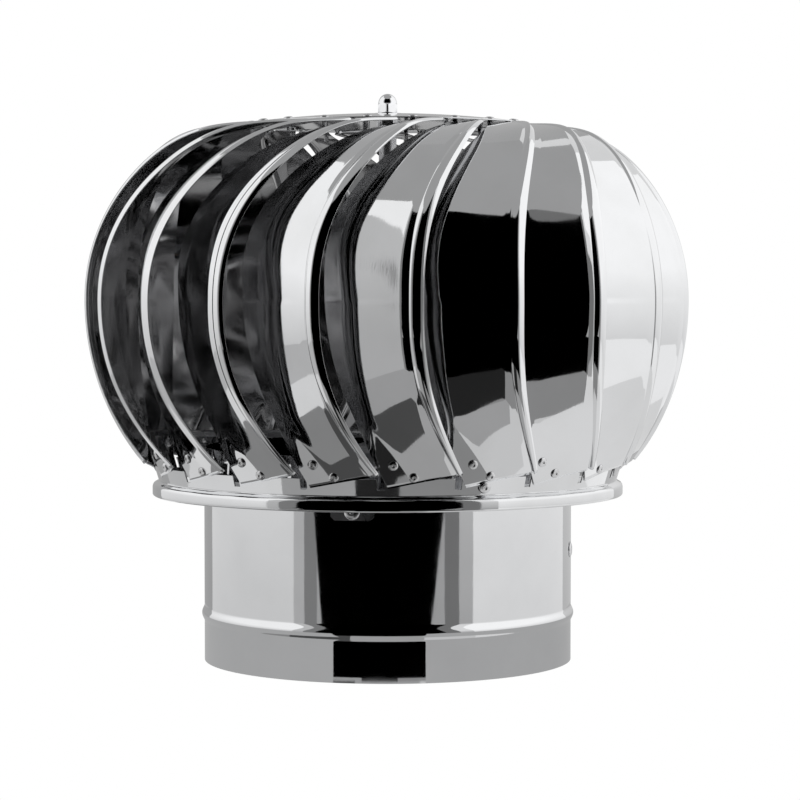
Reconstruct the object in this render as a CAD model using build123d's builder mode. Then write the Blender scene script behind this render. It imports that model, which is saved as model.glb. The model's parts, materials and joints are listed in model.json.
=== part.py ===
from build123d import *
import os
from math import atan, atan2, cos, radians, sin, sqrt, tan

os.makedirs("parts", exist_ok=True)

# Sizes of the duct collar and its bead
collar_radius = 125.0
collar_height = 145.0
collar_sheet = 1.0
bead_height = 32.0
bead_width = 9.5
bead_depth = 1.8

# Sizes of the lower ring: a cone that widens upward over a folded rim
rim_radius = 160.0
rim_bottom = 112.6
rim_height = 7.9
rim_fold = 2.4
band_foot_radius = 155.7
band_foot_height = 122.5
band_slope = 0.3
band_sheet = 1.0
band_top = 133.5
ear_top = 149.0
ear_low = 138.0
slot_bottom = 126.5
slot_angle = 1.7

# Sizes of the bulging outline that the free edges of the vanes follow
equator_radius = 205.3
equator_height = 244.0
dome_drop = 190.0
tip_radius = 95.0
tip_height = 362.5
foot_height = 136.3

# Sizes of one vane, with angles round the axis counted back from its free edge
vane_count = 20
vane_sheet = 0.65
first_bend = 3.8
bend_angle = 2.6
panel_angle = 13.6
flange_angle = 18.8
flange_taper = 2.8
bend_inset = 1.4
panel_inset = 20.9
flange_inset = 27.5
crease_height = 165.0
crease_foot_angle = 7.9
crease_lift = 0.3
foot_tilt = 11.4
tip_tilt = 24.0
foot_sweep = 10.0
tip_sweep = 35.3
seat_gap = 0.52

# Sizes of the top plate
plate_radius = 97.0
plate_edge = 363.3
plate_rise = 6.6
plate_sheet = 0.8

# Sizes of the fixed bars, their bearing housings and screws
bar_width = 28.0
bar_thick = 3.0
tab_corner = 2.5
upper_bar_turn = -10.0
upper_tab_height = 104.7
lower_bar_turn = 80.0
lower_bar_height = 62.0
lower_tab_height = 90.0
bush_radius = 9.0
bush_length = 20.0
bush_flange = 11.5
bush_flange_thick = 2.5
housing_wall = 3.0
housing_flange = 24.0
housing_flange_thick = 3.0
screw_place = 18.0
screw_radius = 2.5
screw_head = 5.0
screw_length = 11.0
screw_nut_across = 8.0
screw_nut_height = 4.0
screw_sink = 0.1
flange_gap = 0.5

# Sizes of the shaft, its hub and the arms that carry the lower ring
shaft_radius = 6.0
running_gap = 0.05
end_play = 0.3
thrust_washer_thick = 1.5
shaft_tail = 6.0
circlip_thick = 1.2
circlip_depth = 0.8
circlip_radius = 8.5
stud_radius = 4.0
stud_length = 8.0
stud_gap = 0.3
nut_across = 13.0
lock_nut_height = 6.5
acorn_height = 13.0
washer_radius = 9.0
washer_thick = 1.2
washer_gap = 0.1
hub_radius = 17.0
hub_height = 21.0
set_screw_radius = 3.0
arm_count = 3
arm_turn = 23.0
arm_width = 24.0
arm_thick = 3.0
arm_lift = 3.0
arm_gap = 0.8
arm_tip_height = 120.0

# Sizes and places of the rivets
rivet_flats = 8
rivet_head = 3.2
rivet_crown = 1.8
rivet_head_height = 1.2
rivet_shank = 1.6
foot_rivet_length = 4.0
top_rivet_length = 8.0
left_rivet_turn = -2.35
left_rivet_height = 142.3
right_rivet_turn = 2.3
right_rivet_height = 134.5
top_rivet_turn = 10.2
top_rivet_radius = 93.5
arm_rivet_head = 4.0
arm_rivet_crown = 2.4
arm_rivet_shank = 2.0
arm_rivet_length = 8.0
arm_rivet_height = 127.4
bar_rivet_head = 5.2
bar_rivet_crown = 3.2
bar_rivet_head_height = 1.6
bar_rivet_shank = 2.4
bar_rivet_length = 7.5
upper_bar_rivet = 110.2
lower_bar_rivet = 76.0

pitch = 360 / vane_count
collar_inside = collar_radius - collar_sheet
upper_bar_top = collar_height + bar_thick
plate_top = plate_edge + plate_rise
hub_bottom = collar_height + bush_flange_thick + thrust_washer_thick + end_play
shoulder_height = plate_top - plate_sheet - washer_gap - washer_thick - lock_nut_height
stud_top = plate_top + washer_thick + stud_length


def around(radius, turn, height=0):
    """A point at an angle round the axis, counted from the front towards +X."""
    return Vector(radius * sin(radians(turn)), -radius * cos(radians(turn)), height)


def upright_plane(turn):
    """A plane through the axis, with x outward at that angle and y upward."""
    return Plane((0, 0, 0), x_dir=around(1, turn), z_dir=around(1, turn - 90))


def seat_plane(radius, turn, height, slope=0):
    """A plane that faces outward, square to a wall that leans out by the slope."""
    lean = atan(slope)
    outward = around(cos(lean), turn, -sin(lean))
    return Plane(around(radius, turn, height), x_dir=around(1, turn + 90), z_dir=outward)


def band_radius(height):
    """Outside radius of the ring's cone, continued upward."""
    return band_foot_radius + band_slope * (height - band_foot_height)


def lower_dome_radius(height):
    """Radius of the free edges below the widest place, an ellipse."""
    return equator_radius * sqrt(1 - ((equator_height - height) / dome_drop) ** 2)


def panel_radius(height):
    """Radius of the vane's inner bend: on the ring's cone at the foot, then easing upright."""
    foot_cone = band_radius(min(height, crease_height)) + seat_gap + vane_sheet
    if height <= crease_height:
        return foot_cone
    down = (equator_height - height) / (equator_height - crease_height)
    top = equator_radius - panel_inset
    return top - (top - foot_cone) * down**1.8


def blind_rivet(head, crown, head_height, shank, length):
    """A rivet along z with its seat at zero: a low flat-sided head over a straight shank."""
    with BuildPart() as rivet:
        with BuildSketch():
            RegularPolygon(head, rivet_flats)
        with BuildSketch(Plane.XY.offset(head_height)):
            RegularPolygon(crown, rivet_flats)
        loft(ruled=True)
        with BuildSketch():
            RegularPolygon(shank, rivet_flats)
        extrude(amount=-length)
    return rivet.part


def sheet_outline(points):
    """Closed outline of bent sheet: the outer points, then the same ones one thickness inward."""
    run = atan2(points[2][1] - points[1][1], points[2][0] - points[1][0])
    inner = [(x + vane_sheet * sin(run), y - vane_sheet * cos(run)) for x, y in points]
    return points + inner[::-1]


def lower_section(height, tilt):
    """Plane and outline of a vane at a height between its foot and its widest place."""
    share = (equator_height - height) / (equator_height - foot_height)
    below = max(0, (crease_height - height) / (crease_height - foot_height))
    radius = lower_dome_radius(height)
    turn = first_bend + bend_angle + foot_sweep * share**2.5
    panel = panel_angle + 1.5 * share**2
    crease = (panel - 0.7) * (1 - below) + crease_foot_angle * below
    bend = bend_angle - 1.6 * share**3
    points = []
    for name, angle in zip("ickbf", (flange_angle - flange_taper * share, panel, crease, bend, 0)):
        level = height - radius * sin(radians(angle)) * tan(radians(tilt))
        inner = panel_radius(level)
        outer = lower_dome_radius(level) - bend_inset
        if name == "i":
            lift = max(0, level - ear_top - 1) / (equator_height - ear_top - 1)
            place = inner - (flange_inset - panel_inset) * sqrt(lift)
        elif name == "c" or (name == "k" and below > 0):
            place = inner
        elif name == "k":
            place = inner + (outer - inner) * 0.7 / (panel - bend) + crease_lift
        else:
            place = outer if name == "b" else radius
        across = place * sin(radians(angle)) / cos(radians(tilt))
        points.append((-across, place * cos(radians(angle)) - radius))
    along = around(cos(radians(tilt)), turn + 90, sin(radians(tilt)))
    plane = Plane(around(radius, turn, height), x_dir=along, z_dir=along.cross(around(1, turn)))
    return plane, sheet_outline(points)


def upper_section(share):
    """Plane and outline of a vane at a share of the way from its widest place to its tip."""
    spot = upper_dome.position_at(share)
    rise = upper_dome.tangent_at(share)
    turn = first_bend + bend_angle + tip_sweep * share**1.85
    sweep_rate = radians(tip_sweep) * 1.85 * share**0.85 / upper_dome.length
    lean = atan(spot.X * sweep_rate)
    tilt = radians(tip_tilt) * share**2
    spread = cos(lean) / cos(lean - tilt)
    depth = 1 - share**3
    insets = (flange_inset, panel_inset, 0, bend_inset, 0)
    flange = flange_angle - flange_taper * share
    angles = (flange, panel_angle, panel_angle - 0.7, bend_angle, 0)
    points = []
    for angle, inset in zip(angles, insets):
        place = spot.X - inset * depth * rise.Z
        drop = inset * depth * cos(radians(angle)) + spot.X * rise.Z * (1 - cos(radians(angle)))
        points.append((-place * sin(radians(angle)) * spread, -drop))
    step = 0.7 / (panel_angle - bend_angle)
    crease_x, crease_y = (c + (b - c) * step for c, b in zip(points[1], points[3]))
    points[2] = (crease_x, crease_y + crease_lift)
    outward = around(rise.Z, turn, -rise.X)
    upward = around(rise.X, turn, rise.Z)
    along = around(1, turn + 90) * cos(tilt) - upward * sin(tilt)
    plane = Plane(around(spot.X, turn, spot.Z), x_dir=along, z_dir=along.cross(outward))
    return plane, sheet_outline(points)


# Duct collar: straight sheet spigot with one rolled bead
with BuildPart() as collar:
    with BuildSketch(Plane.XZ):
        with BuildLine():
            Line((collar_radius, 0), (collar_radius, bead_height - bead_width / 2))
            ThreePointArc(
                (collar_radius, bead_height - bead_width / 2),
                (collar_radius + bead_depth, bead_height),
                (collar_radius, bead_height + bead_width / 2),
            )
            Line((collar_radius, bead_height + bead_width / 2), (collar_radius, collar_height))
            offset(amount=collar_sheet, side=Side.LEFT, kind=Kind.INTERSECTION)
        make_face()
    revolve(axis=Axis.Z)
collar.part.label = "neck_collar"
export_step(collar.part, "parts/neck_collar.step")

# Upper fixed bar: lies across the collar's top edge, ends bent down outside the wall
with BuildPart() as upper_bar:
    with BuildSketch(upright_plane(upper_bar_turn)):
        with BuildLine():
            Polyline(
                (-collar_radius - bar_thick, upper_tab_height),
                (-collar_radius - bar_thick, upper_bar_top),
                (collar_radius + bar_thick, upper_bar_top),
                (collar_radius + bar_thick, upper_tab_height),
                (collar_radius, upper_tab_height),
                (collar_radius, collar_height),
                (-collar_radius, collar_height),
                (-collar_radius, upper_tab_height),
                close=True,
            )
        make_face()
    extrude(amount=bar_width / 2, both=True)
    tab_edges = upper_bar.edges().group_by(Axis.Z)[0]
    chamfer(tab_edges.filter_by(Axis((0, 0, 0), around(1, upper_bar_turn))), length=tab_corner)
    with Locations(Plane.XY.offset(upper_bar_top).rotated((0, 0, upper_bar_turn))):
        Hole(bush_flange + flange_gap)
        with Locations((0, screw_place), (0, -screw_place)):
            CounterSinkHole(screw_radius + running_gap, screw_head)
upper_bar.part.label = "upper_cross_bar"
export_step(upper_bar.part, "parts/upper_cross_bar.step")

# Lower fixed bar: inside the collar, ends bent up against the wall
lower_bar_reach = sqrt(collar_inside**2 - (bar_width / 2) ** 2) - running_gap
with BuildPart() as lower_bar:
    with BuildSketch(upright_plane(lower_bar_turn)):
        with BuildLine():
            Polyline(
                (-lower_bar_reach, lower_tab_height),
                (-lower_bar_reach, lower_bar_height),
                (lower_bar_reach, lower_bar_height),
                (lower_bar_reach, lower_tab_height),
                (lower_bar_reach - bar_thick, lower_tab_height),
                (lower_bar_reach - bar_thick, lower_bar_height + bar_thick),
                (bar_thick - lower_bar_reach, lower_bar_height + bar_thick),
                (bar_thick - lower_bar_reach, lower_tab_height),
                close=True,
            )
        make_face()
    extrude(amount=bar_width / 2, both=True)
    with Locations(Plane.XY.offset(lower_bar_height + bar_thick).rotated((0, 0, lower_bar_turn))):
        Hole(bush_flange + flange_gap)
        with Locations((0, screw_place), (0, -screw_place)):
            CounterSinkHole(screw_radius + running_gap, screw_head)
lower_bar.part.label = "lower_cross_bar"
export_step(lower_bar.part, "parts/lower_cross_bar.step")

# Rivets at the ends of both bars, heads outside the collar
bar_rivet_seats = [
    seat_plane(collar_radius + bar_thick, upper_bar_turn, upper_bar_rivet),
    seat_plane(collar_radius + bar_thick, upper_bar_turn + 180, upper_bar_rivet),
    seat_plane(collar_radius, lower_bar_turn, lower_bar_rivet),
    seat_plane(collar_radius, lower_bar_turn + 180, lower_bar_rivet),
]
bar_rivet = blind_rivet(
    bar_rivet_head, bar_rivet_crown, bar_rivet_head_height, bar_rivet_shank, bar_rivet_length
)
with BuildPart() as bar_rivets:
    with Locations(*bar_rivet_seats):
        add(bar_rivet)
bar_rivets.part.label = "bar_rivets"
export_step(bar_rivets.part, "parts/bar_rivets.step")

# Bearing housings: a flanged sleeve hung under each bar, with its flanged bush
bar_undersides = {"upper": (collar_height, upper_bar_turn), "lower": (lower_bar_height, lower_bar_turn)}
for place, (underside, turn) in bar_undersides.items():
    with BuildPart() as housing:
        with BuildSketch(Plane.XY.offset(underside)):
            Circle(housing_flange)
        extrude(amount=-housing_flange_thick)
        with BuildSketch(Plane.XY.offset(underside - housing_flange_thick)):
            Circle(bush_radius + housing_wall)
        extrude(amount=housing_flange_thick - bush_length)
        with Locations(Plane.XY.offset(underside).rotated((0, 0, turn))):
            Hole(bush_radius)
            with Locations((0, screw_place), (0, -screw_place)):
                Hole(screw_radius + running_gap)
    housing.part.label = f"{place}_bearing_housing"
    export_step(housing.part, f"parts/{place}_bearing_housing.step")

    with BuildPart() as bush:
        with BuildSketch(Plane.XY.offset(underside)):
            Circle(bush_flange)
        extrude(amount=bush_flange_thick)
        with BuildSketch(Plane.XY.offset(underside)):
            Circle(bush_radius)
        extrude(amount=-bush_length)
        with Locations(Plane.XY.offset(underside + bush_flange_thick)):
            Hole(shaft_radius + running_gap)
    bush.part.label = f"{place}_bush"
    export_step(bush.part, f"parts/{place}_bush.step")

# Countersunk screws through the bars, and their nuts under the housing flanges
screw_seats = [
    Plane(around(screw_place, turn + side, underside + bar_thick))
    for underside, turn in bar_undersides.values()
    for side in (0, 180)
]
with BuildPart() as housing_screws:
    with Locations(*screw_seats):
        Cylinder(screw_radius, screw_length, align=(Align.CENTER, Align.CENTER, Align.MAX))
        Cone(
            screw_radius,
            screw_head - screw_sink,
            screw_head - screw_sink - screw_radius,
            align=(Align.CENTER, Align.CENTER, Align.MAX),
        )
housing_screws.part.label = "housing_screws"
export_step(housing_screws.part, "parts/housing_screws.step")

nut_seats = [seat.offset(-bar_thick - housing_flange_thick) for seat in screw_seats]
with BuildPart() as housing_nuts:
    with BuildSketch(*nut_seats):
        RegularPolygon(screw_nut_across / 2, 6, major_radius=False)
        Circle(screw_radius, mode=Mode.SUBTRACT)
    extrude(amount=-screw_nut_height)
housing_nuts.part.label = "housing_nuts"
export_step(housing_nuts.part, "parts/housing_nuts.step")

# Thrust washer: carries the rotor's weight on the upper bush
with BuildPart() as thrust_washer:
    with BuildSketch(Plane.XY.offset(collar_height + bush_flange_thick)):
        Circle(bush_flange - flange_gap)
        Circle(shaft_radius + end_play, mode=Mode.SUBTRACT)
    extrude(amount=thrust_washer_thick)
thrust_washer.part.label = "thrust_washer"
export_step(thrust_washer.part, "parts/thrust_washer.step")

# Shaft: one turned bar with a groove near its foot and a thinner threaded end on top
shaft_foot = lower_bar_height - bush_length - shaft_tail
groove_top = lower_bar_height - bush_length - end_play
with BuildPart() as shaft:
    with BuildSketch(Plane.XZ):
        with BuildLine():
            Polyline(
                (0, shaft_foot),
                (shaft_radius, shaft_foot),
                (shaft_radius, groove_top - circlip_thick),
                (shaft_radius - circlip_depth, groove_top - circlip_thick),
                (shaft_radius - circlip_depth, groove_top),
                (shaft_radius, groove_top),
                (shaft_radius, shoulder_height),
                (stud_radius, shoulder_height),
                (stud_radius, stud_top),
                (0, stud_top),
                close=True,
            )
        make_face()
    revolve(axis=Axis.Z)
shaft.part.label = "shaft"
export_step(shaft.part, "parts/shaft.step")

# Retaining ring: snapped into the shaft's groove under the lower bush
with BuildPart() as circlip:
    with BuildSketch(Plane.XY.offset(groove_top)):
        Circle(circlip_radius)
        Circle(shaft_radius - circlip_depth, mode=Mode.SUBTRACT)
        with Locations((circlip_radius / 2, 0)):
            Rectangle(circlip_radius + 2, 5, mode=Mode.SUBTRACT)
    extrude(amount=-circlip_thick)
circlip.part.label = "retaining_ring"
export_step(circlip.part, "parts/retaining_ring.step")

# Hub: turned boss on the shaft, held by a set screw
set_screw_height = hub_bottom + hub_height / 2 + 2
set_screw_plane = seat_plane(shaft_radius, arm_turn + 180 / arm_count, set_screw_height)
with BuildPart() as hub:
    with BuildSketch(Plane.XY.offset(hub_bottom)):
        Circle(hub_radius)
        Circle(shaft_radius, mode=Mode.SUBTRACT)
    extrude(amount=hub_height)
    with Locations(set_screw_plane):
        Cylinder(
            set_screw_radius,
            hub_radius,
            align=(Align.CENTER, Align.CENTER, Align.MIN),
            mode=Mode.SUBTRACT,
        )
hub.part.label = "rotor_hub"
export_step(hub.part, "parts/rotor_hub.step")

with BuildPart() as set_screw:
    with Locations(set_screw_plane):
        Cylinder(
            set_screw_radius,
            hub_radius - shaft_radius - flange_gap,
            align=(Align.CENTER, Align.CENTER, Align.MIN),
        )
set_screw.part.label = "hub_set_screw"
export_step(set_screw.part, "parts/hub_set_screw.step")

# Rotor arms: flat strips welded to the hub, ends bent down along the inside of the cone
arm_top = upper_bar_top + arm_lift + arm_thick
cone_offset = band_sheet * sqrt(1 + band_slope**2) + arm_gap
for number in range(arm_count):
    with BuildPart() as arm:
        with BuildSketch(upright_plane(arm_turn + 360 / arm_count * number)):
            with BuildLine():
                Polyline(
                    (shaft_radius, arm_top),
                    (band_radius(arm_top) - cone_offset, arm_top),
                    (band_radius(arm_tip_height) - cone_offset, arm_tip_height),
                )
                offset(amount=arm_thick, side=Side.RIGHT, kind=Kind.INTERSECTION)
            make_face()
        extrude(amount=arm_width / 2, both=True)
        with BuildSketch(Plane.XY.offset(hub_bottom)):
            Circle(hub_radius)
        extrude(amount=hub_height, mode=Mode.SUBTRACT)
    arm.part.label = f"rotor_arm_{number + 1}"
    export_step(arm.part, f"parts/rotor_arm_{number + 1}.step")

# Lower ring: cone with a narrow slot beside each ear, over a flat folded rim
rim_top = rim_bottom + rim_height
fold = rim_radius - rim_fold
thick = band_sheet * sqrt(1 + band_slope**2)
with BuildPart() as ring:
    with BuildSketch(Plane.XZ):
        with BuildLine():
            Polyline(
                (band_radius(ear_top), ear_top),
                (band_foot_radius, band_foot_height),
                (rim_radius - 1.4, rim_top + 0.8),
                (rim_radius, rim_top - 0.6),
                (rim_radius, rim_bottom + 1.1),
                (rim_radius - 1.1, rim_bottom),
                (fold, rim_bottom),
                (fold, rim_top - 0.1),
                (band_radius(rim_top + 1.4) - thick, rim_top + 1.4),
                (band_radius(ear_top) - thick, ear_top),
                close=True,
            )
        make_face()
    revolve(axis=Axis.Z)
    slot_left = first_bend + pitch - 6.0
    slot_right = slot_left + slot_angle
    ear_right = first_bend + 4.3
    middle = slot_right - pitch / 2
    wall = band_radius(band_top)

    def on_wall(turn):
        return wall * sin(radians(turn - middle))

    with BuildSketch(seat_plane(rim_radius - 15, middle, 0)):
        with BuildLine():
            Polyline(
                (on_wall(slot_right - pitch), ear_top + 1),
                (on_wall(slot_right - pitch), ear_top),
                (on_wall(ear_right), ear_low),
                (on_wall(ear_right), band_top),
                (on_wall(slot_left), band_top),
                (on_wall(slot_left), slot_bottom),
                (on_wall(slot_right), slot_bottom),
                (on_wall(slot_right), ear_top + 1),
                close=True,
            )
        make_face()
    with PolarLocations(0, vane_count):
        extrude(amount=30, mode=Mode.SUBTRACT)
ring.part.label = "lower_ring"
export_step(ring.part, "parts/lower_ring.step")

# Outline of the free edges above their widest place, drawn once as a smooth curve
rise_share = [(0.959, 0.287), (0.861, 0.515), (0.696, 0.738), (0.481, 0.911), (0.354, 0.963)]
dome_points = [
    (tip_radius + (equator_radius - tip_radius) * out, equator_height + (tip_height - equator_height) * up)
    for out, up in rise_share
]
with BuildLine(Plane.XZ) as upper_dome_line:
    Spline(
        (equator_radius, equator_height),
        *dome_points,
        (tip_radius, tip_height),
        tangents=((0, 1), (-1, 0.09)),
    )
upper_dome = upper_dome_line.edge()

# Vanes: bent sheet strips, each with a foot tab, an inner flange and a bent free edge
foot_run = crease_height - foot_height
lower_run = equator_height - crease_height
foot_stations = [(foot_height + foot_run * step, foot_tilt * (1 - step)) for step in (0, 1 / 3, 2 / 3)]
belly_stations = [(crease_height + lower_run * step, 0) for step in (0, 1 / 4, 1 / 2, 3 / 4)]
stations = [lower_section(height, tilt) for height, tilt in foot_stations + belly_stations]
stations += [upper_section(share) for share in (0, 0.2, 0.37, 0.52, 0.65, 0.77, 0.88, 1)]
with BuildPart() as first_vane:
    for plane, points in stations:
        with BuildSketch(plane):
            with BuildLine():
                Polyline(*points, close=True)
            make_face()
    loft(ruled=True)
for number in range(vane_count):
    with BuildPart() as vane:
        add(first_vane.part, rotation=(0, 0, pitch * number))
    vane.part.label = f"vane_{number + 1:02d}"
    export_step(vane.part, f"parts/vane_{number + 1:02d}.step")

# Top plate: shallow domed disc whose rim lies on the tips of the vanes
with BuildPart() as plate:
    with BuildSketch(Plane.XZ):
        with BuildLine():
            ThreePointArc(
                (stud_radius + stud_gap, plate_top),
                (plate_radius / 2, plate_edge + plate_rise * 0.75),
                (plate_radius, plate_edge),
            )
            offset(amount=plate_sheet, side=Side.RIGHT, kind=Kind.INTERSECTION)
        make_face()
    revolve(axis=Axis.Z)
plate.part.label = "top_plate"
export_step(plate.part, "parts/top_plate.step")

# Fastening of the plate on the shaft: washer and lock nut below, washer and acorn nut above
with BuildPart() as plate_washers:
    for underside in (shoulder_height + lock_nut_height, plate_top):
        with BuildSketch(Plane.XY.offset(underside)):
            Circle(washer_radius)
            Circle(stud_radius, mode=Mode.SUBTRACT)
        extrude(amount=washer_thick)
plate_washers.part.label = "plate_washers"
export_step(plate_washers.part, "parts/plate_washers.step")

with BuildPart() as lock_nut:
    with BuildSketch(Plane.XY.offset(shoulder_height)):
        RegularPolygon(nut_across / 2, 6, major_radius=False)
        Circle(stud_radius, mode=Mode.SUBTRACT)
    extrude(amount=lock_nut_height)
lock_nut.part.label = "lock_nut"
export_step(lock_nut.part, "parts/lock_nut.step")

nut_seat = plate_top + washer_thick
with BuildPart() as acorn_nut:
    with BuildSketch(Plane.XY.offset(nut_seat)):
        RegularPolygon(nut_across / 2, 6, major_radius=False)
    extrude(amount=acorn_height / 2)
    with BuildSketch(Plane.XZ):
        with BuildLine():
            Line((0, nut_seat), (nut_across / 2, nut_seat))
            Polyline(
                (nut_across / 2, nut_seat),
                (nut_across / 2, nut_seat + acorn_height * 0.6),
                (nut_across * 0.4, nut_seat + acorn_height * 0.8),
                (nut_across * 0.22, nut_seat + acorn_height * 0.96),
                (0, nut_seat + acorn_height),
            )
            Line((0, nut_seat + acorn_height), (0, nut_seat))
        make_face()
    revolve(axis=Axis.Z)
    with Locations((0, 0, nut_seat)):
        Cylinder(
            stud_radius,
            stud_length + flange_gap,
            align=(Align.CENTER, Align.CENTER, Align.MIN),
            mode=Mode.SUBTRACT,
        )
acorn_nut.part.label = "acorn_nut"
export_step(acorn_nut.part, "parts/acorn_nut.step")

# Rivets of the vanes: two at each foot, one at each tip
left_turns = [first_bend + left_rivet_turn + pitch * step for step in range(vane_count)]
right_turns = [first_bend + right_rivet_turn + pitch * step for step in range(vane_count)]
foot_seats = [
    seat_plane(panel_radius(left_rivet_height), turn, left_rivet_height, band_slope)
    for turn in left_turns
]
foot_seats += [
    seat_plane(panel_radius(right_rivet_height), turn, right_rivet_height, band_slope)
    for turn in right_turns
]
foot_rivet = blind_rivet(rivet_head, rivet_crown, rivet_head_height, rivet_shank, foot_rivet_length)
with BuildPart() as foot_rivets:
    with Locations(*foot_seats):
        add(foot_rivet)
foot_rivets.part.label = "vane_foot_rivets"
export_step(foot_rivets.part, "parts/vane_foot_rivets.step")

top_seat = plate_edge + plate_rise * (1 - (top_rivet_radius / plate_radius) ** 2)
top_slope = 2 * plate_rise * top_rivet_radius / plate_radius**2
top_seats = [
    seat_plane(top_rivet_radius, top_rivet_turn + pitch * step, top_seat, -1 / top_slope)
    for step in range(vane_count)
]
top_rivet = blind_rivet(rivet_head, rivet_crown, rivet_head_height, rivet_shank, top_rivet_length)
with BuildPart() as top_rivets:
    with Locations(*top_seats):
        add(top_rivet)
top_rivets.part.label = "vane_top_rivets"
export_step(top_rivets.part, "parts/vane_top_rivets.step")

# Rivets that hold the ring to the ends of the arms
arm_turns = [arm_turn + 360 / arm_count * number for number in range(arm_count)]
arm_seats = [
    seat_plane(panel_radius(arm_rivet_height), turn, arm_rivet_height, band_slope) for turn in arm_turns
]
arm_rivet = blind_rivet(
    arm_rivet_head, arm_rivet_crown, rivet_head_height, arm_rivet_shank, arm_rivet_length
)
with BuildPart() as arm_rivets:
    with Locations(*arm_seats):
        add(arm_rivet)
arm_rivets.part.label = "arm_rivets"
export_step(arm_rivets.part, "parts/arm_rivets.step")
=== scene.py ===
import json
import math

import bpy
import numpy as np
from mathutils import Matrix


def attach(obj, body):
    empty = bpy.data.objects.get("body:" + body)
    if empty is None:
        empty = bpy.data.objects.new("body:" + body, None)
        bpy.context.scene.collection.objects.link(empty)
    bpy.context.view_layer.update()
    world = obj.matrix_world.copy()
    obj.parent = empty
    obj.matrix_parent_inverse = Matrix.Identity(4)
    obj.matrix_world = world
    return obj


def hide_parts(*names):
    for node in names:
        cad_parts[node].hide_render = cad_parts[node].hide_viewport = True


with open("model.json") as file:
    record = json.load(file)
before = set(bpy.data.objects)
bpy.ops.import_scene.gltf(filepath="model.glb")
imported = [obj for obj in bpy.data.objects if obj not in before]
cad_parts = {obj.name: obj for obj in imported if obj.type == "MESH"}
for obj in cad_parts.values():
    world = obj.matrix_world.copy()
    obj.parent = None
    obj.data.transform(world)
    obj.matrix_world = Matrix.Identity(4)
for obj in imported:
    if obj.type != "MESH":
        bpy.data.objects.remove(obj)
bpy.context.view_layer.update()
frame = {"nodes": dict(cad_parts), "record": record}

# Camera: a long lens 1.85 m in front of the axis and a hair to its right, a little above the
# vanes' widest place and looking slightly down.
look_down = 0.045
camera_data = bpy.data.cameras.new("camera")
camera_data.lens = 122.13
camera_data.sensor_width = 36
camera_data.clip_start = 0.05
camera = bpy.data.objects.new("camera", camera_data)
camera.location = (0.0084, -1.85, 0.2594)
camera.rotation_mode = "XYZ"
camera.rotation_euler = (math.pi / 2 - look_down, 0, 0)
bpy.context.collection.objects.link(camera)
bpy.context.scene.camera = camera
bpy.context.scene.view_settings.view_transform = "Standard"

climb_low = -0.16
climb_high = 0.55


def light_material(name, strength, low_strength=None):
    """A surface that only shines, for the studio's cards. Where a low strength is given, the
    card has it up to climb_low and rises evenly from there to its full strength at climb_high."""
    made = bpy.data.materials.new(name)
    made.use_nodes = True
    nodes, links = made.node_tree.nodes, made.node_tree.links
    nodes.clear()
    out = nodes.new("ShaderNodeOutputMaterial")
    shine = nodes.new("ShaderNodeEmission")
    shine.inputs["Color"].default_value = (1, 1, 1, 1)
    shine.inputs["Strength"].default_value = strength
    if low_strength is not None:
        place = nodes.new("ShaderNodeTexCoord")
        split = nodes.new("ShaderNodeSeparateXYZ")
        climb = nodes.new("ShaderNodeMapRange")
        climb.inputs["From Min"].default_value = climb_low
        climb.inputs["From Max"].default_value = climb_high
        climb.inputs["To Min"].default_value = low_strength
        climb.inputs["To Max"].default_value = strength
        links.new(place.outputs["Object"], split.inputs["Vector"])
        links.new(split.outputs["Z"], climb.inputs["Value"])
        links.new(climb.outputs["Result"], shine.inputs["Strength"])
    links.new(shine.outputs[0], out.inputs[0])
    return made


def grid_faces(columns, rows):
    """Quads between neighbouring points of a grid that is stored column by column."""
    column, row = np.meshgrid(np.arange(columns - 1), np.arange(rows - 1), indexing="ij")
    corner = (column * rows + row).ravel()
    return np.stack([corner, corner + 1, corner + rows + 1, corner + rows], -1)


def studio_piece(name, points, faces, material):
    """A piece of the studio that only the reflections in the sheet show."""
    mesh = bpy.data.meshes.new(name)
    mesh.from_pydata(points.tolist(), [], faces.tolist())
    mesh.materials.append(material)
    piece = bpy.data.objects.new(name, mesh)
    bpy.context.collection.objects.link(piece)
    piece.visible_camera = False
    piece.visible_shadow = False


def studio_card(name, left, right, low, high, reach, strength, low_strength=None, foot=None):
    """A card bent round the object: points at the given reach from the axis, between two angles
    counted from the camera's side towards +X and between two heights. Its foot may reach
    between other angles than its top."""
    foot = foot or (left, right)
    across, up = np.meshgrid(np.linspace(0, 1, 33), np.linspace(0, 1, 17), indexing="ij")
    top_turn = left + (right - left) * across
    foot_turn = foot[0] + (foot[1] - foot[0]) * across
    turn = np.radians(foot_turn + (top_turn - foot_turn) * up)
    height = low + (high - low) * up
    points = np.stack([reach * np.sin(turn), -reach * np.cos(turn), height], -1).reshape(-1, 3)
    studio_piece(name, points, grid_faces(33, 17), light_material(name, strength, low_strength))


def table_sector(name, left, right, near, far, height, strength):
    """A flat piece of the table, between two angles and two distances from the axis."""
    turns = np.radians(np.linspace(left, right, 33))
    turn, out = np.meshgrid(turns, np.linspace(near, far, 5), indexing="ij")
    points = np.stack([out * np.sin(turn), -out * np.cos(turn), height + 0 * out], -1).reshape(-1, 3)
    studio_piece(name, points, grid_faces(33, 5), light_material(name, strength))


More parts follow.
